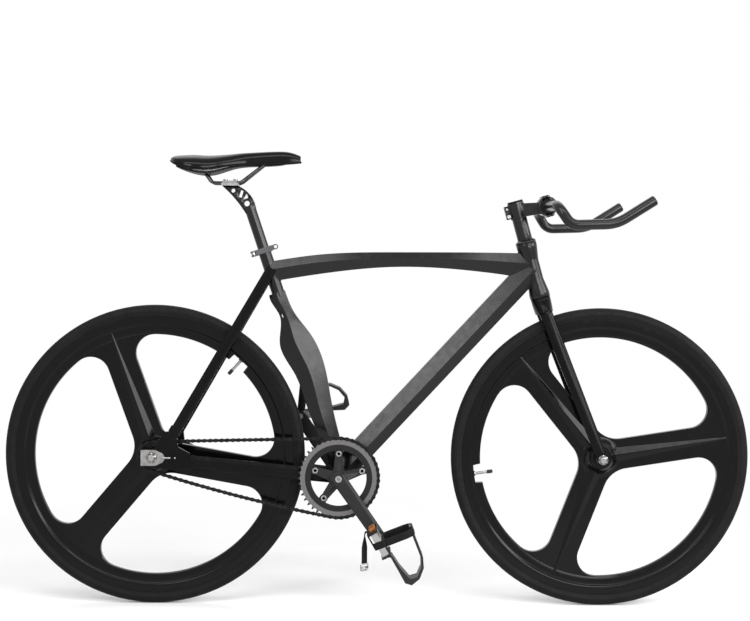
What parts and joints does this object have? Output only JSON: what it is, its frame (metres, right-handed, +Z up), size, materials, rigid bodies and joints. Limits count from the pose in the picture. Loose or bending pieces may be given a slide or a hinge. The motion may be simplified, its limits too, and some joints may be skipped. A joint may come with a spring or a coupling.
{
  "type": "fixed gear bicycle",
  "caption": "Brakeless fixed-gear city bicycle with broad-spoked cast wheels, bullhorn bars, chain drive, toe-clip pedals and a quick-release saddle post.",
  "frame": {"origin": "on the ground, midway between the two axles", "axes": "+X forwards, +Z up; the chain is on the right-hand side, at -Y"},
  "size_m": [1.6727, 0.4322, 1.0131],
  "materials": {
    "frame_black": "satin",
    "wheel_black": "gloss",
    "tyre_black": "matte",
    "tube_rubber": "matte",
    "bright_steel": "brushed",
    "bearing_steel": "satin",
    "chain_black": "satin",
    "ring_black": "satin",
    "crank_charcoal": "satin",
    "pedal_silver": "satin",
    "clip_black": "matte",
    "strap_black": "matte",
    "reflector_amber": "gloss",
    "cockpit_black": "satin",
    "plug_black": "matte",
    "collar_grey": "satin",
    "cradle_silver": "satin",
    "rail_steel": "satin",
    "saddle_base": "matte",
    "saddle_skin": "gloss"
  },
  "bodies": {
    "frame": {"head_tube": "frame_black", "top_tube": "frame_black", "down_tube": "frame_black", "seat_tube": "frame_black", "bottom_bracket_shell": "frame_black", "chainstays": "frame_black", "seatstays": "frame_black", "track_ends": "frame_black", "seat_clamp_collar": "collar_grey", "seat_clamp_skewer": "bright_steel", "bottom_bracket_cartridge": "bearing_steel", "headset_bearings": "bearing_steel", "chain": "chain_black", "chain_tensioners": "bright_steel", "rear_axle": "bright_steel", "rear_axle_nuts": "bright_steel"},
    "clamp_lever": {"seat_clamp_lever": "collar_grey"},
    "seat": {"seatpost": "cockpit_black", "saddle_cradle": "cradle_silver", "saddle_clamp": "bright_steel", "saddle_rails": "rail_steel", "saddle_shell": "saddle_base", "saddle_cover": "saddle_skin"},
    "fork": {"fork_crown": "frame_black", "fork_blades": "frame_black", "headset_cover": "cockpit_black", "headset_spacers": "cockpit_black", "stem": "cockpit_black", "stem_faceplate": "cockpit_black", "stem_bolts": "bright_steel", "stem_cap": "cockpit_black", "handlebar": "cockpit_black", "bar_end_plugs": "plug_black", "front_axle": "bright_steel", "front_axle_nuts": "bright_steel"},
    "front_wheel_body": {"front_wheel": "wheel_black", "front_tyre": "tyre_black", "front_inner_tube": "tube_rubber", "front_hub_bearings": "bearing_steel"},
    "rear_wheel_body": {"rear_wheel": "wheel_black", "rear_tyre": "tyre_black", "rear_inner_tube": "tube_rubber", "rear_hub_bearings": "bearing_steel", "rear_cog": "chain_black", "cog_lockring": "chain_black"},
    "cranks": {"bottom_bracket_spindle": "bright_steel", "crank_right": "crank_charcoal", "crank_left": "crank_charcoal", "chainring": "ring_black", "chainring_bolts": "bright_steel", "crank_bolts": "bright_steel", "pedal_axles": "bright_steel"},
    "pedal_right_body": {"pedal_right": "pedal_silver", "toe_clip_right": "clip_black", "toe_strap_right": "strap_black", "pedal_reflector_right": "reflector_amber"},
    "pedal_left_body": {"pedal_left": "pedal_silver", "toe_clip_left": "clip_black", "toe_strap_left": "strap_black", "pedal_reflector_left": "reflector_amber"}
  },
  "joints": [
    {"name": "steering", "type": "hinge", "parent": "frame", "child": "fork", "pos_m": [0.46472, 0, 0.32611], "axis": [-0.2672, 0, 0.9636], "range_deg": [-90, 90]},
    {"name": "front_wheel_spin", "type": "hinge", "parent": "fork", "child": "front_wheel_body", "pos_m": [0.50038, 0, 0.336], "axis": [0, 1, 0], "continuous": true},
    {"name": "rear_wheel_spin", "type": "hinge", "parent": "frame", "child": "rear_wheel_body", "pos_m": [-0.50038, 0, 0.336], "axis": [0, 1, 0], "continuous": true, "deforming": ["chain"]},
    {"name": "crank_spin", "type": "hinge", "parent": "frame", "child": "cranks", "pos_m": [-0.08783, 0, 0.29], "axis": [0, 1, 0], "continuous": true},
    {"name": "pedal_right_spin", "type": "hinge", "parent": "cranks", "child": "pedal_right_body", "pos_m": [0.00284, -0.12745, 0.16428], "axis": [0, 1, 0], "continuous": true},
    {"name": "pedal_left_spin", "type": "hinge", "parent": "cranks", "child": "pedal_left_body", "pos_m": [-0.1785, 0.12745, 0.41572], "axis": [0, 1, 0], "continuous": true},
    {"name": "seatpost_slide", "type": "slide", "parent": "frame", "child": "seat", "axis": [-0.3206, 0, 0.9472], "range_m": [-0.08, 0.06]},
    {"name": "seat_clamp_lever_swing", "type": "hinge", "parent": "frame", "child": "clamp_lever", "pos_m": [-0.2817, -0.0205, 0.78761], "axis": [0.3206, 0, -0.9472], "range_deg": [0, 150]}
  ],
  "couplings": [
    {"joint": "crank_spin", "follows": "rear_wheel_spin", "ratio": 0.36364}
  ]
}
